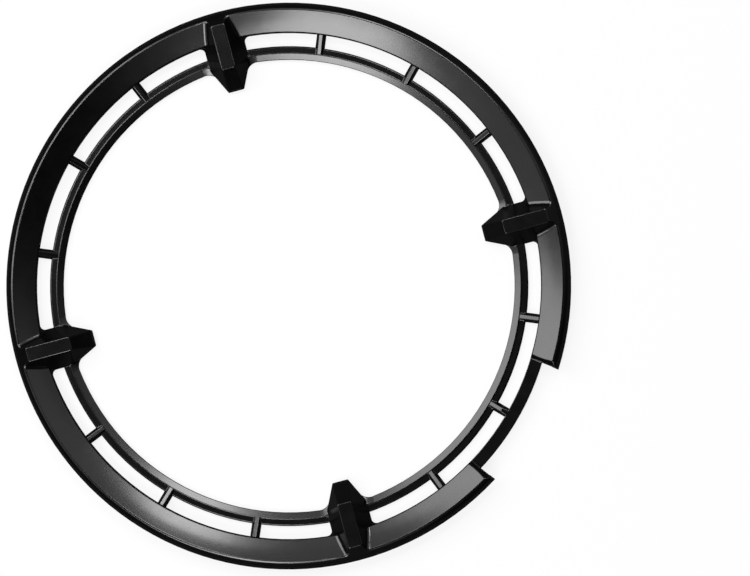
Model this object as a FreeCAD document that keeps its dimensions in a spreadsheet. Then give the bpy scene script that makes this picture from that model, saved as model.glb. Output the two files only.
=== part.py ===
"""Chainring guard: one moulded ring, flat on its seat, axis along +Z and the crank-arm notch towards +X."""

import FreeCAD
import Part
import Sketcher

import math
import os

NODE = "guard_ring"

# Distance in millimetres within which two places count as the same.
NEAR = 0.001

FULL_TURN = 360.0

# Driving dimensions in millimetres, degrees or pieces, each with the alias that the features use.
DIMENSIONS = [
    ("outer_radius", 106.4, "foot of the outer skirt"),
    ("skirt_lean", 0.6, "how far the skirt leans in up to the land on the crest"),
    ("land_width", 2.2, "width of the sloping land on the crest"),
    ("cone_width", 8.5, "width of the dished cone inside the land"),
    ("cone_lip", 0.3, "bevel of the inner edge of the cone"),
    ("cone_sag", 0.2, "how far the cone is dished below a straight line"),
    ("window_width", 4.85, "gap between the cone and the inner flange"),
    ("flange_width", 5.15, "width of the inner flange"),
    ("band_width", 2.5, "width of the sloping band along the bore of the flange"),
    ("band_rise", 0.9, "how far that band rises from the bore"),
    ("ledge_step", 0.7, "how far the rest of the flange lies below that band"),
    ("flange_bottom", 0.6, "underside of the flange above the seat"),
    ("flange_depth", 1.9, "thickness of the flange at the top of its band"),
    ("foot_step", 2.8, "how far the inner edge of the cone stands above the flange"),
    ("foot_depth", 3.7, "depth of the rim at the inner edge of the cone"),
    ("cone_rise", 3.6, "how far the cone rises to the crest"),
    ("skirt_depth", 4.7, "depth of the outer skirt below the crest"),
    ("wall", 2.0, "thickness of the dished cone"),
    ("foot_wall", 1.6, "thickness of the rim at the inner edge of the cone"),
    ("skirt_wall", 2.6, "thickness of the skirt at its rim"),
    ("rib_count", 16, "even places round the ring, taken by ribs and fins"),
    ("rib_top_width", 1.5, "width of a rib on its top"),
    ("rib_foot_width", 3.6, "width of a rib on its underside"),
    ("rib_sink", 0.6, "how far a rib runs into the band of the flange"),
    ("rib_drop", 0.15, "how far the top of a rib starts below the band"),
    ("rib_end_drop", 0.45, "how far the top of a rib ends below the edge of the cone"),
    ("rib_lift", 0.2, "how far the underside of a rib starts above that of the flange"),
    ("fin_count", 4, "fins round the ring"),
    ("fin_turn", 45.0, "angle from the notch to the first fin"),
    ("fin_lift", 0.3, "how far the underside of a fin lies above that of the ring"),
    ("fin_rise", 1.9, "how far the flat top of a fin stands above the crest"),
    ("fin_top_width", 5.3, "width of that flat top"),
    ("fin_top_length", 16.8, "length of that flat top"),
    ("fin_top_setback", 2.6, "distance from the crest to the outer end of that flat top"),
    ("fin_corner", 0.5, "cut corner of that flat top, along the fin"),
    ("fin_foot_width", 15.6, "width of a fin at its foot"),
    ("shoulder_inset", 0.7, "how far outside the bore the foot of a fin starts to narrow to its nose"),
    ("nose_run", 9.9, "length of the nose"),
    ("tip_width", 6.0, "width of the nose at its end"),
    ("nose_round", 0.6, "rounding of the edges that climb the nose from its end"),
    ("fin_round", 0.35, "rounding of the edges of the flat top of a fin"),
    ("fin_blend", 1.8, "radius between the flanks of a fin and the cone"),
    ("nose_blend", 4.5, "radius between the nose and the bore of the flange"),
    ("blend_inset", 0.2, "how far that blend starts inside the foot of the nose"),
    ("seat_inset", 0.4, "how far the seat of a nose stays inside its foot"),
    ("seat_overlap", 0.6, "how far that seat runs up into the nose"),
    ("screw_inset", 5.6, "distance from the end of a nose to its screw hole"),
    ("screw_hole", 2.5, "diameter of a screw hole"),
    ("screw_depth", 5.5, "depth of a screw hole from the seat"),
    ("core_setback", 2.1, "distance from the bore to the hollow under a fin"),
    ("core_margin", 0.7, "distance from that hollow to the cone"),
    ("core_side", 1.8, "wall beside that hollow at the foot of a fin"),
    ("core_roof_side", 1.35, "wall beside that hollow at the top of a fin"),
    ("core_skin", 2.2, "thickness of the fin above that hollow"),
    ("core_draft", 1.0, "how far each end of that hollow leans in at its roof"),
    ("notch_width", 44.0, "width of the crank-arm notch at its inner edge"),
    ("notch_flare", 6.5, "angle by which each side of the notch opens outwards"),
    ("notch_draft", 11.0, "slope of the end walls of the notch"),
    ("bridge_width", 4.6, "width of the low bridge across the notch"),
    ("bridge_step", 1.5, "how far the top of that bridge stands above the flange"),
    ("end_wall", 2.2, "thickness of the walls that close the ring at the notch"),
    ("crest_break", 0.35, "chamfer of the inner edge of the land"),
    ("crest_bevel", 0.6, "width of the bevel on the outer edge of the land"),
    ("crest_bevel_slope", 60.0, "slope of that bevel"),
    ("edge_round", 0.4, "rounding or chamfer of the small edges"),
]

# Sizes that follow from the driving dimensions, as formulas of the sheet.
DERIVED = [
    ("land_radius", "outer_radius - skirt_lean"),
    ("crest_radius", "land_radius - land_width"),
    ("cone_radius", "crest_radius - cone_width"),
    ("flange_radius", "cone_radius - window_width"),
    ("bore_radius", "flange_radius - flange_width"),
    ("flange_top", "flange_bottom + flange_depth"),
    ("cone_foot", "flange_top + foot_step"),
    ("ring_bottom", "cone_foot - foot_depth"),
    ("crest_height", "cone_foot + cone_rise"),
    ("skirt_bottom", "crest_height - skirt_depth"),
    ("fin_top", "crest_height + fin_rise"),
    ("fin_foot", "ring_bottom + fin_lift"),
    ("fin_bevel_radius", "crest_radius - fin_top_setback"),
    ("fin_top_radius", "fin_bevel_radius - fin_top_length"),
    ("shoulder_radius", "bore_radius + shoulder_inset"),
    ("tip_radius", "shoulder_radius - nose_run"),
    ("screw_radius", "tip_radius + screw_inset"),
    ("core_inner_radius", "bore_radius + core_setback"),
    ("core_outer_radius", "cone_radius - core_margin"),
    ("core_roof", "fin_top - core_skin"),
    ("bridge_radius", "cone_radius + bridge_width"),
    ("bridge_top", "flange_top + bridge_step"),
    ("cone_slope", "cone_rise / cone_width"),
    ("cone_drop", "wall * sqrt(1 + cone_slope ^ 2)"),
    ("foot_radius", "cone_radius + foot_wall"),
    ("foot_roof", "cone_foot + foot_wall * cone_slope - cone_drop"),
    ("skirt_inner_radius", "outer_radius - skirt_wall"),
    ("shell_roof", "cone_foot + (skirt_inner_radius - cone_radius) * cone_slope - cone_drop"),
    ("rim_radius", "outer_radius - edge_round"),
    ("rim_height", "skirt_bottom + edge_round"),
    ("band_radius", "bore_radius + band_width"),
    ("band_slope", "band_rise / band_width"),
    ("ledge_top", "flange_top - ledge_step"),
    ("ledge_clear", "flange_top + ledge_step"),
    ("ledge_radius", "flange_radius + window_width / 2"),
    ("blank_radius", "crest_radius + wall / 4"),
    ("dish_chord", "sqrt(cone_width ^ 2 + cone_rise ^ 2)"),
    ("dish_radius", "(dish_chord ^ 2 / 4 + cone_sag ^ 2) / (2 * cone_sag)"),
    ("dish_x", "(cone_radius + crest_radius) / 2 - (dish_radius - cone_sag) * cone_rise / dish_chord"),
    ("dish_z", "(cone_foot + crest_height) / 2 + (dish_radius - cone_sag) * cone_width / dish_chord"),
    ("lip_radius", "cone_radius + cone_lip"),
    ("lip_foot", "cone_foot - cone_lip"),
    ("lip_top", "dish_z - sqrt(dish_radius ^ 2 - (lip_radius - dish_x) ^ 2)"),
    ("blank_top", "dish_z - sqrt(dish_radius ^ 2 - (blank_radius - dish_x) ^ 2)"),
    ("land_fall", "fin_rise / fin_top_setback"),
    ("land_edge_radius", "land_radius - crest_bevel"),
    ("land_edge", "fin_top - land_fall * (land_edge_radius - fin_bevel_radius)"),
    ("land_foot", "land_edge - (notch_outer_radius - land_edge_radius) * tan(crest_bevel_slope)"),
    ("land_clear", "fin_top + wall"),
    ("fin_foot_radius", "foot_radius - foot_wall / 8"),
    ("nose_root_radius", "(bore_radius + flange_radius) / 2"),
    ("fin_top_half", "fin_top_width / 2"),
    ("fin_foot_half", "fin_foot_width / 2"),
    ("tip_half", "tip_width / 2"),
    ("nose_spread", "fin_foot_half - tip_half"),
    ("nose_length", "sqrt(nose_run ^ 2 + nose_spread ^ 2)"),
    ("nose_cos", "nose_run / nose_length"),
    ("nose_sin", "nose_spread / nose_length"),
    ("seat_tip_radius", "tip_radius + seat_inset"),
    ("seat_tip_half", "tip_half - seat_inset / nose_cos"),
    ("seat_root_half", "seat_tip_half + (nose_root_radius - seat_tip_radius) * nose_spread / nose_run"),
    ("seat_top", "fin_foot + seat_overlap"),
    ("fin_corner_radius", "fin_top_radius + fin_corner"),
    ("fin_end_half", "fin_top_half - fin_corner * nose_spread / nose_run"),
    ("tongue_radius", "tip_radius + nose_run / 2"),
    ("blend_tip_half", "tip_half - blend_inset / nose_cos"),
    ("tongue_half", "blend_tip_half + nose_spread / 2"),
    ("blend_start_x", "tip_radius - nose_blend * nose_sin"),
    ("blend_start_y", "blend_tip_half + nose_blend * nose_cos"),
    ("blend_along", "blend_start_x * nose_cos + blend_start_y * nose_sin"),
    ("blend_square", "blend_start_x ^ 2 + blend_start_y ^ 2"),
    ("blend_reach", "sqrt(blend_along ^ 2 - blend_square + (bore_radius - nose_blend) ^ 2) - blend_along"),
    ("blend_x", "blend_start_x + blend_reach * nose_cos"),
    ("blend_y", "blend_start_y + blend_reach * nose_sin"),
    ("blend_nose_x", "blend_x + nose_blend * nose_sin"),
    ("blend_nose_y", "blend_y - nose_blend * nose_cos"),
    ("blend_bore_x", "blend_x * bore_radius / (bore_radius - nose_blend)"),
    ("blend_bore_y", "blend_y * bore_radius / (bore_radius - nose_blend)"),
    ("tongue_root_x", "blend_bore_x * nose_root_radius / bore_radius"),
    ("tongue_root_y", "blend_bore_y * nose_root_radius / bore_radius"),
    ("rib_top_half", "rib_top_width / 2"),
    ("rib_foot_half", "rib_foot_width / 2"),
    ("rib_start", "band_radius - rib_sink"),
    ("rib_end", "cone_radius + rib_sink / 2"),
    ("rib_start_foot", "flange_bottom + rib_lift"),
    ("rib_start_top", "flange_top - rib_sink * band_slope - rib_drop"),
    ("rib_end_top", "cone_foot - rib_end_drop"),
    ("core_half", "fin_foot_half - core_side"),
    ("core_roof_half", "fin_top_half - core_roof_side"),
    ("core_roof_inner", "core_inner_radius + core_draft"),
    ("core_roof_outer", "core_outer_radius - core_draft"),
    ("screw_hole_radius", "screw_hole / 2"),
    ("notch_inner_half", "notch_width / 2"),
    ("notch_outer_radius", "outer_radius + skirt_wall"),
    ("notch_outer_half", "notch_inner_half + (notch_outer_radius - flange_radius) * tan(notch_flare)"),
    ("notch_top", "fin_top - bridge_top"),
    ("end_angle", "2 * (asin(notch_outer_half / outer_radius) + atan(end_wall / outer_radius)) / 1 deg"),
    ("end_foot_radius", "cone_radius + foot_wall / 2"),
    ("end_roof_radius", "outer_radius - skirt_wall / 2"),
    ("end_rim", "skirt_bottom + skirt_wall / 4"),
    ("end_roof_height", "crest_height - cone_drop / 2"),
]


def make_sheet(doc):
    """Writes the driving dimensions and the sizes that follow from them into one sheet."""
    sheet = doc.addObject("Spreadsheet::Sheet", "dims")
    rows = [(alias, str(number), note) for alias, number, note in DIMENSIONS]
    rows += [(alias, "=" + formula, "worked out") for alias, formula in DERIVED]
    for row, (alias, content, note) in enumerate(rows, 1):
        sheet.set(f"A{row}", alias)
        sheet.set(f"B{row}", content)
        sheet.setAlias(f"B{row}", alias)
        sheet.set(f"C{row}", note)
    doc.recompute()
    return sheet


class GuardBody:
    """The PartDesign body of the guard, with the steps that its features share."""

    def __init__(self, doc, sheet):
        self.doc = doc
        self.sheet = sheet
        self.body = doc.addObject("PartDesign::Body", NODE)
        self.body.Label = NODE
        self.body.AllowCompound = True
        self.planes = {feature.Role: feature for feature in self.body.Origin.OriginFeatures}

    def size(self, name):
        """Number in the sheet under an alias, negative for an alias that starts with a minus sign."""
        if name.startswith("-"):
            return -float(self.sheet.get(name[1:]))
        return float(self.sheet.get(name))

    def cell(self, name):
        """Expression that reads an alias of the sheet."""
        return f"-dims.{name[1:]}" if name.startswith("-") else f"dims.{name}"

    def sketch(self, name, plane, height=None, turn=None):
        """Makes a sketch on an origin plane, lifted along its normal and turned about it by sheet sizes."""
        sketch = self.body.newObject("Sketcher::SketchObject", name)
        sketch.AttachmentSupport = [(self.planes[plane], "")]
        sketch.MapMode = "FlatFace"
        angle = self.size(turn) if turn else 0.0
        lift = self.size(height) if height else 0.0
        normal = FreeCAD.Vector(0, 0, 1)
        sketch.AttachmentOffset = FreeCAD.Placement(normal * lift, FreeCAD.Rotation(normal, angle))
        if height:
            sketch.setExpression("AttachmentOffset.Base.z", self.cell(height))
        if turn:
            sketch.setExpression("AttachmentOffset.Rotation.Angle", self.cell(turn))
        return sketch

    def bind(self, sketch, kind, place, size):
        """Adds one dimension to a sketch and ties it to the sheet."""
        index = sketch.addConstraint(Sketcher.Constraint(kind, *place, self.size(size)))
        label = f"{kind}{index}"
        sketch.renameConstraint(index, label)
        sketch.setExpression(f"Constraints.{label}", self.cell(size))

    def outline(self, sketch, corners, arcs=()):
        """Draws a closed outline through named corners, with arcs (corner, centre, radius) between some."""
        bends = {start: (centre, radius) for start, centre, radius in arcs}
        points = [FreeCAD.Vector(self.size(x), self.size(y), 0) for x, y in corners]
        for index, start in enumerate(points):
            end = points[(index + 1) % len(points)]
            if index in bends:
                centre = FreeCAD.Vector(*[self.size(name) for name in bends[index][0]], 0)
                sketch.addGeometry(self.arc(centre, start, end), False)
            else:
                sketch.addGeometry(Part.LineSegment(start, end), False)
        ends = [self.line_ends(line, start) for line, start in zip(sketch.Geometry, points)]
        for index, (_, last) in enumerate(ends):
            following = (index + 1) % len(points)
            first = ends[following][0]
            sketch.addConstraint(Sketcher.Constraint("Coincident", index, last, following, first))
        for index, (x, y) in enumerate(corners):
            self.bind(sketch, "DistanceX", (-1, 1, index, ends[index][0]), x)
            self.bind(sketch, "DistanceY", (-1, 1, index, ends[index][0]), y)
        for index, (_, radius) in bends.items():
            self.bind(sketch, "Radius", (index,), radius)

    def arc(self, centre, start, end):
        """Shorter arc between two points about a centre."""
        first = math.atan2(start.y - centre.y, start.x - centre.x)
        last = math.atan2(end.y - centre.y, end.x - centre.x)
        if (last - first) % math.tau > math.pi:
            first, last = last, first
        circle = Part.Circle(centre, FreeCAD.Vector(0, 0, 1), (start - centre).Length)
        return Part.ArcOfCircle(circle, first, last)

    def line_ends(self, line, start):
        """Sketch point numbers of the ends of a line or arc, in the order in which the outline runs."""
        return (1, 2) if (line.StartPoint - start).Length < (line.EndPoint - start).Length else (2, 1)

    def circle(self, sketch, radius, x=None):
        """Draws a circle about the origin, or about a point along the sketch's own X axis."""
        centre = FreeCAD.Vector(self.size(x) if x else 0.0, 0, 0)
        index = sketch.addGeometry(Part.Circle(centre, FreeCAD.Vector(0, 0, 1), self.size(radius)), False)
        if x:
            sketch.addConstraint(Sketcher.Constraint("PointOnObject", index, 3, -1))
            self.bind(sketch, "DistanceX", (-1, 1, index, 3), x)
        else:
            sketch.addConstraint(Sketcher.Constraint("Coincident", index, 3, -1, 1))
        self.bind(sketch, "Radius", (index,), radius)

    def feature(self, kind, name, sketch, **sizes):
        """Adds a feature on a sketch, with its properties bound to the sheet."""
        feature = self.body.newObject(f"PartDesign::{kind}", name)
        feature.Profile = sketch
        feature.Refine = False
        for prop, size in sizes.items():
            feature.setExpression(prop, self.cell(size))
        return feature

    def revolve(self, kind, name, corners, arcs=(), angle=None):
        """Turns an outline in the XZ plane about the axis, all round or by an angle centred on the notch."""
        sketch = self.sketch(f"{name}_section", "XZ_Plane")
        self.outline(sketch, corners, arcs)
        feature = self.feature(kind, name, sketch)
        feature.ReferenceAxis = (sketch, ["V_Axis"])
        if angle:
            feature.Midplane = True
            feature.setExpression("Angle", self.cell(angle))
        self.doc.recompute()
        return feature

    def around(self, name, original, count, refine=False):
        """Repeats a feature evenly about the axis, with level faces that meet merged where asked."""
        pattern = self.body.newObject("PartDesign::PolarPattern", name)
        pattern.Originals = [original]
        pattern.Refine = refine
        pattern.Axis = (self.planes["Z_Axis"], [""])
        pattern.Angle = FULL_TURN
        pattern.setExpression("Occurrences", self.cell(count))
        self.body.Tip = pattern
        self.doc.recompute()
        return pattern

    def dress(self, kind, name, size, chosen):
        """Rounds or chamfers the edges of the body that a test chooses."""
        base = self.body.Tip
        edges = [f"Edge{i}" for i, edge in enumerate(base.Shape.Edges, 1) if chosen(edge)]
        if not edges:
            raise RuntimeError(f"{name} finds no edge")
        feature = self.body.newObject(f"PartDesign::{kind}", name)
        feature.Base = (base, edges)
        feature.Refine = False
        feature.setExpression("Radius" if kind == "Fillet" else "Size", self.cell(size))
        self.doc.recompute()
        return feature

    def on_circle(self, edge, radius, height):
        """Tells whether an edge lies on a circle about the axis, by the names of its radius and height."""
        spots = [vertex.Point for vertex in edge.Vertexes] + [edge.CenterOfMass]
        curve = edge.Curve
        round_axis = isinstance(curve, Part.Circle) and math.hypot(curve.Center.x, curve.Center.y) < NEAR
        level = all(abs(spot.z - self.size(height)) < NEAR for spot in spots)
        return round_axis and level and abs(curve.Radius - self.size(radius)) < NEAR


def add_outer_ring(guard):
    """Dished cone, crest and outer skirt, as one thin wall turned about the axis."""
    guard.revolve("Revolution", "outer_ring", [
        ("cone_radius", "ring_bottom"),
        ("cone_radius", "lip_foot"),
        ("lip_radius", "lip_top"),
        ("blank_radius", "blank_top"),
        ("land_radius", "blank_top"),
        ("outer_radius", "rim_height"),
        ("rim_radius", "skirt_bottom"),
        ("skirt_inner_radius", "skirt_bottom"),
        ("skirt_inner_radius", "shell_roof"),
        ("foot_radius", "foot_roof"),
        ("foot_radius", "ring_bottom"),
    ], arcs=[(2, ("dish_x", "dish_z"), "dish_radius")])


def add_flange(guard):
    """Inner flange: a sloping band along the bore and its blends into the noses, and a lower ledge."""
    sketch = guard.sketch("flange_section", "XY_Plane", height="flange_bottom")
    guard.circle(sketch, "flange_radius")
    guard.circle(sketch, "bore_radius")
    guard.feature("Pad", "flange", sketch, Length="flange_depth")
    guard.doc.recompute()
    sketch = guard.sketch("tongue_outline", "XY_Plane", height="flange_bottom", turn="fin_turn")
    guard.outline(sketch, [
        ("tongue_radius", "tongue_half"),
        ("blend_nose_x", "blend_nose_y"),
        ("blend_bore_x", "blend_bore_y"),
        ("tongue_root_x", "tongue_root_y"),
        ("tongue_root_x", "-tongue_root_y"),
        ("blend_bore_x", "-blend_bore_y"),
        ("blend_nose_x", "-blend_nose_y"),
        ("tongue_radius", "-tongue_half"),
    ], arcs=[
        (1, ("blend_x", "blend_y"), "nose_blend"),
        (5, ("blend_x", "-blend_y"), "nose_blend"),
    ])
    tongue = guard.feature("Pad", "tongue", sketch, Length="flange_depth")
    guard.doc.recompute()
    guard.around("tongues", tongue, "fin_count", refine=True)
    band = guard.dress("Chamfer", "band", "band_rise", lambda edge: is_bore_edge(guard, edge))
    band.ChamferType = "Two distances"
    band.setExpression("Size2", guard.cell("band_width"))
    guard.doc.recompute()
    guard.revolve("Groove", "ledge", [
        ("band_radius", "ledge_top"),
        ("ledge_radius", "ledge_top"),
        ("ledge_radius", "ledge_clear"),
        ("band_radius", "ledge_clear"),
    ])
    guard.dress("Chamfer", "flange_edge", "edge_round",
                lambda edge: guard.on_circle(edge, "flange_radius", "ledge_top"))


def is_bore_edge(guard, edge):
    """Tells whether an edge runs along the top of the bore, its blends or the sides of a tongue."""
    if any(abs(vertex.Z - guard.size("flange_top")) > NEAR for vertex in edge.Vertexes):
        return False
    middle = edge.CenterOfMass
    if guard.on_circle(edge, "bore_radius", "flange_top"):
        return True
    if isinstance(edge.Curve, Part.Circle):
        return abs(edge.Curve.Radius - guard.size("nose_blend")) < NEAR
    along = edge.tangentAt(edge.FirstParameter)
    radial = FreeCAD.Vector(middle.x, middle.y, 0).normalize()
    inside = math.hypot(middle.x, middle.y) < guard.size("bore_radius")
    return inside and abs(along.dot(radial)) > along.cross(radial).Length


def add_ribs(guard):
    """Narrow ribs that tie the band of the flange to the outer ring, with sloping sides and rising tops."""
    inner = rib_section(guard, "rib_start", "rib_start_foot", "rib_start_top")
    outer = rib_section(guard, "rib_end", "ring_bottom", "rib_end_top")
    rib = guard.feature("AdditiveLoft", "rib", inner)
    rib.Sections = [outer]
    rib.Ruled = True
    guard.doc.recompute()
    guard.around("ribs", rib, "rib_count")


def rib_section(guard, place, foot, top):
    """Section of a rib across its length, at a radius and between two heights."""
    sketch = guard.sketch(f"{place}_section", "YZ_Plane", height=place)
    guard.outline(sketch, [
        ("-rib_foot_half", foot),
        ("rib_foot_half", foot),
        ("rib_top_half", top),
        ("-rib_top_half", top),
    ])
    return sketch


def add_fins(guard):
    """Four fins with a flat top, sloping flanks and a nose that runs down to a narrow end."""
    foot = [
        ("fin_foot_radius", "fin_foot_half"),
        ("shoulder_radius", "fin_foot_half"),
        ("tip_radius", "tip_half"),
        ("tip_radius", "-tip_half"),
        ("shoulder_radius", "-fin_foot_half"),
        ("fin_foot_radius", "-fin_foot_half"),
    ]
    top = [
        ("outer_radius", "fin_top_half"),
        ("fin_corner_radius", "fin_top_half"),
        ("fin_top_radius", "fin_end_half"),
        ("fin_top_radius", "-fin_end_half"),
        ("fin_corner_radius", "-fin_top_half"),
        ("outer_radius", "-fin_top_half"),
    ]
    seat_outline = guard.sketch("seat_outline", "XY_Plane", turn="fin_turn")
    guard.outline(seat_outline, [
        ("nose_root_radius", "seat_root_half"),
        ("seat_tip_radius", "seat_tip_half"),
        ("seat_tip_radius", "-seat_tip_half"),
        ("nose_root_radius", "-seat_root_half"),
    ])
    seat = guard.feature("Pad", "seat", seat_outline, Length="seat_top")
    guard.doc.recompute()
    guard.around("seats", seat, "fin_count")
    lower = guard.sketch("fin_foot_outline", "XY_Plane", height="fin_foot", turn="fin_turn")
    guard.outline(lower, foot)
    upper = guard.sketch("fin_top_outline", "XY_Plane", height="fin_top", turn="fin_turn")
    guard.outline(upper, top)
    fin = guard.feature("AdditiveLoft", "fin", lower)
    fin.Sections = [upper]
    fin.Ruled = True
    guard.doc.recompute()
    guard.around("fins", fin, "fin_count")


def is_flank_edge(guard, edge):
    """Tells whether an edge is where the flank of a fin meets the dished cone or its inner rim."""
    heights = [vertex.Z for vertex in edge.Vertexes]
    if isinstance(edge.Curve, (Part.Circle, Part.Line)) or max(heights) - min(heights) < guard.size("wall"):
        return False
    middle = edge.valueAt((edge.FirstParameter + edge.LastParameter) / 2)
    radius = math.hypot(middle.x, middle.y)
    reach = math.hypot(radius - guard.size("dish_x"), middle.z - guard.size("dish_z"))
    on_cone = abs(reach - guard.size("dish_radius")) < NEAR
    above_ribs = max(heights) > guard.size("rib_end_top") + NEAR
    on_rim = abs(radius - guard.size("cone_radius")) < NEAR
    return on_cone or (on_rim and above_ribs)


def is_nose_edge(guard, edge):
    """Tells whether an edge climbs from the end of a nose to the flat top of its fin."""
    heights = sorted(vertex.Z for vertex in edge.Vertexes)
    reach = min(math.hypot(vertex.X, vertex.Y) for vertex in edge.Vertexes)
    from_foot = abs(heights[0] - guard.size("fin_foot")) < NEAR
    to_top = abs(heights[-1] - guard.size("fin_top")) < NEAR
    return from_foot and to_top and reach < guard.size("bore_radius") - guard.size("nose_blend")


def is_fin_top_edge(guard, edge):
    """Tells whether an edge bounds the flat top of a fin at its sides or its inner end."""
    if any(abs(vertex.Z - guard.size("fin_top")) > NEAR for vertex in edge.Vertexes):
        return False
    middle = edge.valueAt((edge.FirstParameter + edge.LastParameter) / 2)
    return math.hypot(middle.x, middle.y) < guard.size("fin_bevel_radius") - NEAR


def close_notch_ends(guard):
    """Solid stretch of the outer ring that the notch cuts into, to leave its end walls and the low bridge."""
    guard.revolve("Revolution", "notch_block", [
        ("end_foot_radius", "ring_bottom"),
        ("end_foot_radius", "bridge_top"),
        ("end_roof_radius", "end_roof_height"),
        ("end_roof_radius", "end_rim"),
        ("bridge_radius", "bridge_top"),
        ("bridge_radius", "ring_bottom"),
    ], angle="end_angle")


def cut_land(guard):
    """Land on the crest, which slopes outwards over the ends of the fins too, with its outer edge broken."""
    guard.revolve("Groove", "land", [
        ("fin_bevel_radius", "fin_top"),
        ("land_edge_radius", "land_edge"),
        ("notch_outer_radius", "land_foot"),
        ("notch_outer_radius", "land_clear"),
        ("fin_bevel_radius", "land_clear"),
    ])


def round_edges(guard):
    """Blends of the fins into the cone, the broken edge of the crest, and the rounded edges of the fins."""
    guard.dress("Fillet", "fin_blending", "fin_blend", lambda edge: is_flank_edge(guard, edge))
    guard.dress("Chamfer", "crest_edge", "crest_break", lambda edge: is_land_edge(guard, edge))
    guard.dress("Fillet", "nose_rounding", "nose_round", lambda edge: is_nose_edge(guard, edge))
    guard.dress("Fillet", "fin_rounding", "fin_round", lambda edge: is_fin_top_edge(guard, edge))


def is_land_edge(guard, edge):
    """Tells whether an edge is the inner edge of the land, between the fins."""
    return guard.on_circle(edge, "crest_radius", "crest_height")


def cut_notch(guard):
    """Crank-arm notch through the outer ring, down to the low bridge."""
    sketch = guard.sketch("notch_outline", "XY_Plane", height="bridge_top")
    guard.outline(sketch, [
        ("flange_radius", "-notch_inner_half"),
        ("notch_outer_radius", "-notch_outer_half"),
        ("notch_outer_radius", "notch_outer_half"),
        ("flange_radius", "notch_inner_half"),
    ])
    notch = guard.feature("Pocket", "notch", sketch, Length="notch_top", TaperAngle="notch_draft")
    notch.Reversed = True
    guard.doc.recompute()


def hollow_back(guard):
    """Back of the moulding: hollows under the fins and the screw holes in the noses."""
    lower = guard.sketch("core_outline", "XY_Plane", turn="fin_turn")
    guard.outline(lower, [
        ("core_inner_radius", "-core_half"),
        ("core_outer_radius", "-core_half"),
        ("core_outer_radius", "core_half"),
        ("core_inner_radius", "core_half"),
    ])
    upper = guard.sketch("core_roof_outline", "XY_Plane", height="core_roof", turn="fin_turn")
    guard.outline(upper, [
        ("core_roof_inner", "-core_roof_half"),
        ("core_roof_outer", "-core_roof_half"),
        ("core_roof_outer", "core_roof_half"),
        ("core_roof_inner", "core_roof_half"),
    ])
    core = guard.feature("SubtractiveLoft", "core", lower)
    core.Sections = [upper]
    core.Ruled = True
    guard.doc.recompute()
    guard.around("cores", core, "fin_count")
    sketch = guard.sketch("screw_outline", "XY_Plane", turn="fin_turn")
    guard.circle(sketch, "screw_hole_radius", x="screw_radius")
    screw = guard.feature("Pocket", "screw_hole_cut", sketch, Length="screw_depth")
    screw.Reversed = True
    guard.doc.recompute()
    guard.around("screw_holes", screw, "fin_count")


def check(doc, body):
    """Stops when a feature has failed or the body isn't one valid solid."""
    for item in doc.Objects:
        if "Invalid" in item.State or "Error" in item.State:
            raise RuntimeError(f"{item.Name} failed: {item.State}")
    shape = body.Shape
    if shape.isNull() or not shape.isValid() or len(shape.Solids) != 1:
        raise RuntimeError(f"{body.Label} isn't one valid solid")


def main():
    """Builds the guard and writes its solid."""
    doc = FreeCAD.newDocument("chainring_guard")
    guard = GuardBody(doc, make_sheet(doc))
    add_outer_ring(guard)
    close_notch_ends(guard)
    add_flange(guard)
    add_ribs(guard)
    add_fins(guard)
    cut_land(guard)
    round_edges(guard)
    cut_notch(guard)
    hollow_back(guard)
    doc.recompute()
    check(doc, guard.body)
    os.makedirs("parts", exist_ok=True)
    guard.body.Shape.exportStep(os.path.join("parts", f"{guard.body.Label}.step"))


main()
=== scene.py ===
"""Chainring guard: finishes the moulded ring in satin black plastic and lights it on a pale floor."""

import logging
import math
from dataclasses import dataclass
from enum import Enum

import bmesh
import bpy
from mathutils import Matrix, Vector
from mathutils.kdtree import KDTree


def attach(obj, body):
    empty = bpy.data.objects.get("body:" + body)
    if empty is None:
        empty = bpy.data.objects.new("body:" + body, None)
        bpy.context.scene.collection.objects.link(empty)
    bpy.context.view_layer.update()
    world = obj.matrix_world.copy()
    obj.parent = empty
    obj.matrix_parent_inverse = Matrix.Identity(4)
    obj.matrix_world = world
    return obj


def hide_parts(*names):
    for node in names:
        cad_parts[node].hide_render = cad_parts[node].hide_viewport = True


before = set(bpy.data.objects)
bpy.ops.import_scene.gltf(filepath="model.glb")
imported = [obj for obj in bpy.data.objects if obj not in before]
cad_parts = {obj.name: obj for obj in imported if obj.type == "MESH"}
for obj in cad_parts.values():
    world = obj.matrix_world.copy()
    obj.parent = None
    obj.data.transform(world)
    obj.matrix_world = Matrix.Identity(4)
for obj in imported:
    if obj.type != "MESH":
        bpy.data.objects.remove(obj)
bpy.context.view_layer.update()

log = logging.getLogger("chainring_guard")

MM = 0.001


class Slot(Enum):
    """Material slots of the record."""

    BLACK_PLASTIC = "black_plastic"


def on_circle(angle: float, elevation: float, distance: float) -> Vector:
    """Gives a point by its direction from the middle of the guard.

    Args:
        angle: degrees about the guard's axis, counted from the notch.
        elevation: degrees above the floor.
        distance: metres from the middle of the guard.

    Returns:
        The point in the row frame.
    """
    turn = math.radians(angle)
    rise = math.radians(elevation)
    flat = math.cos(rise) * distance
    return Vector((math.cos(turn) * flat, math.sin(turn) * flat, math.sin(rise) * distance))


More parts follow.
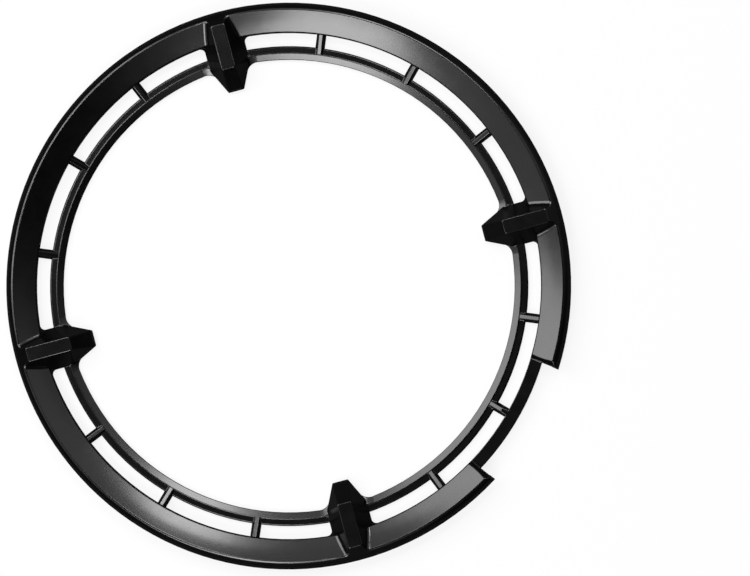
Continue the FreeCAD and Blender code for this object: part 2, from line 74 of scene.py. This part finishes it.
class NodeBench:
    """Adds and joins the nodes of one node tree."""

    def __init__(self, tree: bpy.types.NodeTree) -> None:
        """Starts on an emptied tree.

        Args:
            tree: node tree of a material or of the world.
        """
        self.tree = tree
        tree.nodes.clear()

    def add(self, kind: str, **values: object) -> bpy.types.Node:
        """Adds a node.

        Args:
            kind: the node's type name after ShaderNode.
            values: settings of the node, or values of its inputs with spaces written as underscores.

        Returns:
            The new node.
        """
        node = self.tree.nodes.new(f"ShaderNode{kind}")
        for name, value in values.items():
            label = name.replace("_", " ")
            if label in node.inputs:
                node.inputs[label].default_value = value
            else:
                setattr(node, name, value)
        return node

    def join(self, source: bpy.types.NodeSocket, target: bpy.types.NodeSocket) -> None:
        """Links an output to an input.

        Args:
            source: output of one node.
            target: input of another.
        """
        self.tree.links.new(source, target)

    def ease(
        self, source: bpy.types.NodeSocket, start: float, end: float, first: float, last: float
    ) -> bpy.types.NodeSocket:
        """Leads a value smoothly from one level to another.

        Args:
            source: value that is read.
            start: its reading where the change begins.
            end: its reading where the change ends.
            first: level before the change.
            last: level after it.

        Returns:
            The eased value.
        """
        node = self.add("MapRange", From_Min=start, From_Max=end, To_Min=first, To_Max=last)
        node.interpolation_type = "SMOOTHSTEP"
        self.join(source, node.inputs["Value"])
        return node.outputs["Result"]

    def times(self, one: bpy.types.NodeSocket, other: bpy.types.NodeSocket) -> bpy.types.NodeSocket:
        """Multiplies two values.

        Args:
            one: first value.
            other: second value.

        Returns:
            Their product.
        """
        node = self.add("Math", operation="MULTIPLY")
        self.join(one, node.inputs[0])
        self.join(other, node.inputs[1])
        return node.outputs["Value"]


@dataclass(frozen=True)
class SatinPlastic:
    """Black injection-moulded plastic with a satin surface and a fine grain.

    Attributes:
        name: name of the material.
        deep: colour of the darkest mottles.
        pale: colour of the lightest mottles.
        sheen_low: roughness where the surface is smoothest.
        sheen_high: roughness where it is dullest.
        refraction: the plastic's index of refraction.
        mottle_size: metres across a mottle of colour and gloss.
        mottle_span: noise levels at which a mottle is darkest and lightest.
        mottle_detail: finer layers of noise within a mottle.
        mottle_break: strength of those layers, each against the one before.
        grain_size: metres across one grain of the moulded texture.
        grain_depth: metres from the top of a grain to its foot.
        grain_detail: finer layers of noise within a grain.
        grain_break: strength of those layers, each against the one before.
        edge_radius: metres of softening that the tool leaves along an edge.
        edge_samples: rays that look for an edge from each point.
    """

    name: str = "satin_black_plastic"
    deep: tuple[float, float, float, float] = (0.0011, 0.0011, 0.0012, 1.0)
    pale: tuple[float, float, float, float] = (0.0022, 0.0022, 0.0024, 1.0)
    sheen_low: float = 0.17
    sheen_high: float = 0.22
    refraction: float = 1.58
    mottle_size: float = 6.0 * MM
    mottle_span: tuple[float, float] = (0.3, 0.7)
    mottle_detail: float = 4.0
    mottle_break: float = 0.6
    grain_size: float = 0.22 * MM
    grain_depth: float = 0.0015 * MM
    grain_detail: float = 2.0
    grain_break: float = 0.5
    edge_radius: float = 0.45 * MM
    edge_samples: int = 16

    def material(self) -> bpy.types.Material:
        """Builds the finish as nodes on Object coordinates.

        Returns:
            The new material.
        """
        material = bpy.data.materials.new(self.name)
        material.use_nodes = True
        bench = NodeBench(material.node_tree)
        output = bench.add("OutputMaterial")
        shader = bench.add("BsdfPrincipled", IOR=self.refraction)
        bench.join(shader.outputs["BSDF"], output.inputs["Surface"])
        place = bench.add("TexCoord").outputs["Object"]
        self.add_mottle(bench, place, shader)
        self.add_grain(bench, place, shader)
        return material

    def add_mottle(self, bench: NodeBench, place: bpy.types.NodeSocket, shader: bpy.types.Node) -> None:
        """Varies the colour and the gloss a little, as the flow of the melt does.

        Args:
            bench: the material's nodes.
            place: Object coordinates.
            shader: the surface shader.
        """
        mottle = bench.add(
            "TexNoise", Scale=1.0 / self.mottle_size, Detail=self.mottle_detail, Roughness=self.mottle_break
        )
        bench.join(place, mottle.inputs["Vector"])
        tint = bench.add("ValToRGB")
        stops = tint.color_ramp.elements
        for stop, level, colour in zip(stops, self.mottle_span, (self.deep, self.pale)):
            stop.position = level
            stop.color = colour
        bench.join(mottle.outputs["Fac"], tint.inputs["Fac"])
        bench.join(tint.outputs["Color"], shader.inputs["Base Color"])
        gloss = bench.add("MapRange", To_Min=self.sheen_low, To_Max=self.sheen_high)
        bench.join(mottle.outputs["Fac"], gloss.inputs["Value"])
        bench.join(gloss.outputs["Result"], shader.inputs["Roughness"])

    def add_grain(self, bench: NodeBench, place: bpy.types.NodeSocket, shader: bpy.types.Node) -> None:
        """Gives the surface the fine grain of the mould and softens its edges.

        Args:
            bench: the material's nodes.
            place: Object coordinates.
            shader: the surface shader.
        """
        soft = bench.add("Bevel", samples=self.edge_samples, Radius=self.edge_radius)
        grain = bench.add(
            "TexNoise", Scale=1.0 / self.grain_size, Detail=self.grain_detail, Roughness=self.grain_break
        )
        bench.join(place, grain.inputs["Vector"])
        bump = bench.add("Bump", Strength=1.0, Distance=self.grain_depth)
        bench.join(grain.outputs["Fac"], bump.inputs["Height"])
        bench.join(soft.outputs["Normal"], bump.inputs["Normal"])
        bench.join(bump.outputs["Normal"], shader.inputs["Normal"])


@dataclass
class GuardRing:
    """The moulding: crest ring, inner flange, ribs, fins and bridge in one piece.

    Attributes:
        node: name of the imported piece.
        piece: name of the finished moulding that stands for it.
        body: body that the moulding rides on.
        finish: the plastic that it is moulded in.
        weld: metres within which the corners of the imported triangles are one.
        reach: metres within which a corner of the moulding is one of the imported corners.
        end_crest: point of the crest at the end of the ring, beside the notch on the +Y side.
        end_flare: degrees by which that end leans away from the middle of the notch.
        cone_slope: degrees by which the cone rises along that end.
        roll_width: metres of the cone that are rolled down at the end.
        roll_slope: degrees between the rolled edge and the cone.
        roll_low: lowest corner of the box that holds what is rolled, on the +Y side.
        roll_high: highest corner of that box.
        likeness: least cosine between two faces that may share a normal.
    """

    node: str = "guard_ring"
    piece: str = "moulded_ring"
    body: str = "root"
    finish: SatinPlastic = SatinPlastic()
    weld: float = 0.002 * MM
    reach: float = 0.004 * MM
    end_crest: tuple[float, float, float] = (100.44 * MM, 24.09 * MM, 8.74 * MM)
    end_flare: float = 11.2
    cone_slope: float = 22.9
    roll_width: float = 1.2 * MM
    roll_slope: float = 34.0
    roll_low: tuple[float, float, float] = (88.0 * MM, 20.0 * MM, 4.1 * MM)
    roll_high: tuple[float, float, float] = (106.0 * MM, 30.0 * MM, 10.0 * MM)
    likeness: float = 0.9

    def dress(self) -> bpy.types.Object:
        """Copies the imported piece, rolls its ends down at the notch and gives it its finish.

        Returns:
            The moulding's object.
        """
        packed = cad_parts[self.node].data
        form = bmesh.new()
        form.from_mesh(packed)
        bmesh.ops.remove_doubles(form, verts=form.verts[:], dist=self.weld)
        for side in (1.0, -1.0):
            self.roll_end(form, side)
        mesh = bpy.data.meshes.new(self.piece)
        form.to_mesh(mesh)
        form.free()
        self.keep_normals(packed, mesh)
        mesh.materials.append(self.finish.material())
        ring = bpy.data.objects.new(self.piece, mesh)
        bpy.context.scene.collection.objects.link(ring)
        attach(ring, self.body)
        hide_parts(self.node)
        return ring

    def roll_end(self, form: bmesh.types.BMesh, side: float) -> None:
        """Cuts the edge at one end of the ring down to a slope and closes it.

        Args:
            form: the moulding.
            side: 1 for the end on the +Y side of the notch, -1 for the other.
        """
        flare = math.radians(self.end_flare)
        rise = math.radians(self.cone_slope)
        slope = math.radians(self.roll_slope)
        outwards = Vector((math.cos(flare), side * math.sin(flare), 0.0))
        to_notch = Vector((math.sin(flare), -side * math.cos(flare), 0.0))
        cone_normal = Vector((0.0, 0.0, math.cos(rise))) - outwards * math.sin(rise)
        crest = Vector((self.end_crest[0], side * self.end_crest[1], self.end_crest[2]))
        faces = [face for face in form.faces if self.is_at_end(face.calc_center_median(), side)]
        edges = {edge for face in faces for edge in face.edges}
        corners = {corner for face in faces for corner in face.verts}
        cut = bmesh.ops.bisect_plane(
            form,
            geom=[*corners, *edges, *faces],
            dist=self.weld,
            plane_co=crest - to_notch * self.roll_width,
            plane_no=to_notch * math.sin(slope) + cone_normal * math.cos(slope),
            clear_outer=True,
        )
        rim = [item for item in cut["geom_cut"] if isinstance(item, bmesh.types.BMEdge)]
        bmesh.ops.contextual_create(form, geom=rim)

    def is_at_end(self, point: Vector, side: float) -> bool:
        """Tells whether a point lies in the box of what is rolled.

        Args:
            point: the point.
            side: 1 for the end on the +Y side of the notch, -1 for the other.

        Returns:
            True inside the box.
        """
        place = (point.x, side * point.y, point.z)
        return all(low < x < high for low, x, high in zip(self.roll_low, place, self.roll_high))

    def keep_normals(self, packed: bpy.types.Mesh, mesh: bpy.types.Mesh) -> None:
        """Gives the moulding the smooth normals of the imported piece, and a flat one to each new face.

        Args:
            packed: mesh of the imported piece.
            mesh: mesh of the moulding.
        """
        known = KDTree(len(packed.loops))
        facing = {}
        for face in packed.polygons:
            for loop in face.loop_indices:
                known.insert(packed.vertices[packed.loops[loop].vertex_index].co, loop)
                facing[loop] = face.normal.copy()
        known.balance()
        normals = []
        for face in mesh.polygons:
            face.use_smooth = True
            for loop in face.loop_indices:
                point = mesh.vertices[mesh.loops[loop].vertex_index].co
                near = [found[1] for found in known.find_range(point, self.reach)]
                best = max(near, key=lambda one: facing[one].dot(face.normal), default=None)
                fits = best is not None and facing[best].dot(face.normal) > self.likeness
                normals.append(packed.corner_normals[best].vector.copy() if fits else face.normal.copy())
        mesh.normals_split_custom_set(normals)


@dataclass(frozen=True)
class Softbox:
    """A rectangular lamp that faces the guard.

    Attributes:
        name: name of the lamp.
        angle: degrees about the guard's axis, counted from the notch.
        elevation: degrees above the floor.
        width: metres along the floor.
        height: metres upwards.
        glow: brightness of its face, where 1 is white.
        distance: metres from the middle of the guard.
    """

    name: str
    angle: float
    elevation: float
    width: float
    height: float
    glow: float
    distance: float = 1.4

    def stand(self) -> bpy.types.Object:
        """Makes the lamp in its place.

        Returns:
            The lamp's object.
        """
        lamp = bpy.data.lights.new(self.name, "AREA")
        lamp.shape = "RECTANGLE"
        lamp.size = self.width
        lamp.size_y = self.height
        lamp.energy = self.glow * math.pi * self.width * self.height
        holder = bpy.data.objects.new(self.name, lamp)
        holder.location = on_circle(self.angle, self.elevation, self.distance)
        holder.rotation_mode = "QUATERNION"
        holder.rotation_quaternion = (-holder.location).to_track_quat("-Z", "Y")
        bpy.context.scene.collection.objects.link(holder)
        return holder


@dataclass(frozen=True)
class PaleFloor:
    """Matt floor, pale and washed out for the camera alone.

    Attributes:
        name: name of the material.
        pale: colour of the floor to the camera.
        dark: colour of the floor to the plastic, which keeps its steep faces black.
        wash: share of plain white in what the camera sees, the rest being lit and shaded.
    """

    name: str = "pale_floor"
    pale: tuple[float, float, float, float] = (0.82, 0.82, 0.82, 1.0)
    dark: tuple[float, float, float, float] = (0.04, 0.04, 0.04, 1.0)
    wash: float = 0.85

    def material(self) -> bpy.types.Material:
        """Builds the finish.

        Returns:
            The new material.
        """
        material = bpy.data.materials.new(self.name)
        material.use_nodes = True
        bench = NodeBench(material.node_tree)
        output = bench.add("OutputMaterial")
        matt = bench.add("BsdfDiffuse")
        white = bench.add("Emission", Strength=1.0)
        rays = bench.add("LightPath")
        tint = bench.add("MixRGB", Color1=self.dark, Color2=self.pale)
        bench.join(rays.outputs["Is Camera Ray"], tint.inputs["Fac"])
        bench.join(tint.outputs["Color"], matt.inputs["Color"])
        share = bench.add("Math", operation="MULTIPLY")
        share.inputs[1].default_value = self.wash
        mix = bench.add("MixShader")
        bench.join(rays.outputs["Is Camera Ray"], share.inputs[0])
        bench.join(share.outputs["Value"], mix.inputs["Fac"])
        bench.join(matt.outputs["BSDF"], mix.inputs[1])
        bench.join(white.outputs["Emission"], mix.inputs[2])
        bench.join(mix.outputs["Shader"], output.inputs["Surface"])
        return material


@dataclass
class Studio:
    """Pale floor, dim room and softboxes.

    Attributes:
        floor_half: half the side of the floor in metres.
        floor_drop: metres that the floor lies below the seats, so that the two faces don't coincide.
        floor_finish: finish of the floor.
        room_wall: brightness of the room on the pale side, halfway up.
        room_dark: brightness of the room on the dark side.
        room_far: brightness of the room overhead and near the floor.
        room_turn: cosines of the compass angle from the notch where the room starts to darken and is dark.
        room_rise: heights in a room of radius 1 where the pale band begins and is full.
        room_fall: heights in that room where the band starts to fade and ends.
    """

    floor_half: float = 3.0
    floor_drop: float = 0.05 * MM
    floor_finish: PaleFloor = PaleFloor()
    room_wall: float = 0.8
    room_dark: float = 0.0
    room_far: float = 0.01
    room_turn: tuple[float, float] = (0.5, 1.0)
    room_rise: tuple[float, float] = (0.25, 0.55)
    room_fall: tuple[float, float] = (0.75, 0.97)

    def lamps(self) -> list[Softbox]:
        """Lists the softboxes.

        Returns:
            The softboxes, each facing the guard.
        """
        return [
            Softbox("side_softbox", angle=184.0, elevation=45.0, width=0.95, height=0.75, glow=4.3),
            Softbox("far_softbox", angle=106.0, elevation=60.0, width=0.3, height=0.5, glow=11.2),
            Softbox("near_softbox", angle=280.0, elevation=54.0, width=0.45, height=0.6, glow=9.4),
            Softbox("edge_strip", angle=171.0, elevation=67.0, width=0.5, height=0.09, glow=14.0),
        ]

    def build(self) -> None:
        """Builds the floor, the room and the lamps."""
        self.lay_floor()
        self.paint_room()
        for lamp in self.lamps():
            holder = lamp.stand()
            log.info("lamp %s at %s", holder.name, tuple(round(x, 3) for x in holder.location))

    def lay_floor(self) -> None:
        """Lays the pale floor under the seats of the guard."""
        mesh = bpy.data.meshes.new("floor")
        sheet = bmesh.new()
        drop = Matrix.Translation((0.0, 0.0, -self.floor_drop))
        bmesh.ops.create_grid(sheet, x_segments=1, y_segments=1, size=self.floor_half, matrix=drop)
        sheet.to_mesh(mesh)
        sheet.free()
        floor = bpy.data.objects.new("floor", mesh)
        bpy.context.scene.collection.objects.link(floor)
        mesh.materials.append(self.floor_finish.material())

    def paint_room(self) -> None:
        """Paints the room: a pale band halfway up, dark behind the notch, and white to the camera."""
        world = bpy.data.worlds.new("studio")
        bpy.context.scene.world = world
        world.use_nodes = True
        bench = NodeBench(world.node_tree)
        output = bench.add("OutputWorld")
        place = bench.add("TexCoord").outputs["Generated"]
        parts = bench.add("SeparateXYZ")
        bench.join(place, parts.inputs["Vector"])
        level_way = bench.add("VectorMath", operation="MULTIPLY")
        level_way.inputs[1].default_value = (1.0, 1.0, 0.0)
        bench.join(place, level_way.inputs[0])
        compass = bench.add("VectorMath", operation="NORMALIZE")
        bench.join(level_way.outputs["Vector"], compass.inputs[0])
        notch_way = bench.add("VectorMath", operation="DOT_PRODUCT")
        notch_way.inputs[1].default_value = (1.0, 0.0, 0.0)
        bench.join(compass.outputs["Vector"], notch_way.inputs[0])
        side = bench.ease(notch_way.outputs["Value"], *self.room_turn, self.room_wall, self.room_dark)
        rise = bench.ease(parts.outputs["Z"], *self.room_rise, 0.0, 1.0)
        fall = bench.ease(parts.outputs["Z"], *self.room_fall, 1.0, 0.0)
        band = bench.times(rise, fall)
        level = bench.add("Math", operation="MAXIMUM")
        level.inputs[1].default_value = self.room_far
        bench.join(bench.times(side, band), level.inputs[0])
        room = bench.add("Background")
        bench.join(level.outputs["Value"], room.inputs["Strength"])
        white = bench.add("Background", Strength=1.0)
        rays = bench.add("LightPath")
        mix = bench.add("MixShader")
        bench.join(rays.outputs["Is Camera Ray"], mix.inputs["Fac"])
        bench.join(room.outputs["Background"], mix.inputs[1])
        bench.join(white.outputs["Background"], mix.inputs[2])
        bench.join(mix.outputs["Shader"], output.inputs["Surface"])


@dataclass(frozen=True)
class PhotoView:
    """The camera of the photograph.

    Attributes:
        width: picture's width in pixels.
        height: picture's height in pixels.
        centre: pixel of the middle of the guard, from the upper left corner.
        scale: pixels to a millimetre at the seats.
        distance: metres from the middle of the guard.
        tilt: degrees between the view and the guard's axis.
        toward: degrees about the axis, counted from the notch, towards which the camera stands.
        roll: degrees about the axis of the picture's right-hand side.
        sensor: width of the sensor in millimetres.
        near: metres before the camera at which the picture begins.
        far: metres before the camera at which it ends.
    """

    width: float = 750.0
    height: float = 576.0
    centre: tuple[float, float] = (288.73, 285.96)
    scale: float = 2.658
    distance: float = 1.9
    tilt: float = 5.2
    toward: float = 16.7
    roll: float = 30.0
    sensor: float = 36.0
    near: float = 0.05
    far: float = 50.0

    def stand(self) -> bpy.types.Object:
        """Makes the camera and sets it as the scene's.

        Returns:
            The camera's object.
        """
        back = on_circle(self.toward, 90.0 - self.tilt, 1.0)
        right = on_circle(self.roll, 0.0, 1.0)
        right = (right - back * right.dot(back)).normalized()
        up = back.cross(right)
        straight = Matrix((right, up, back)).transposed()
        focal = self.scale / MM * self.distance
        seen = Vector((self.centre[0] - self.width / 2, self.height / 2 - self.centre[1], -focal))
        turn = seen.rotation_difference(Vector((0.0, 0.0, -1.0))).to_matrix()
        data = bpy.data.cameras.new("photo_camera")
        data.sensor_width = self.sensor
        data.lens = focal * self.sensor / self.width
        data.clip_start = self.near
        data.clip_end = self.far
        camera = bpy.data.objects.new("photo_camera", data)
        camera.matrix_world = Matrix.Translation(back * self.distance) @ (straight @ turn).to_4x4()
        bpy.context.scene.collection.objects.link(camera)
        bpy.context.scene.camera = camera
        return camera


def main() -> None:
    """Dresses the guard and builds the studio and the camera."""
    logging.basicConfig(level=logging.INFO, format="%(message)s")
    bpy.context.scene.view_settings.view_transform = "Standard"
    ring = GuardRing().dress()
    log.info("dressed %s", ring.name)
    Studio().build()
    camera = PhotoView().stand()
    log.info("camera %s with a lens of %.1f mm", camera.name, camera.data.lens)


if __name__ == "__main__":
    main()
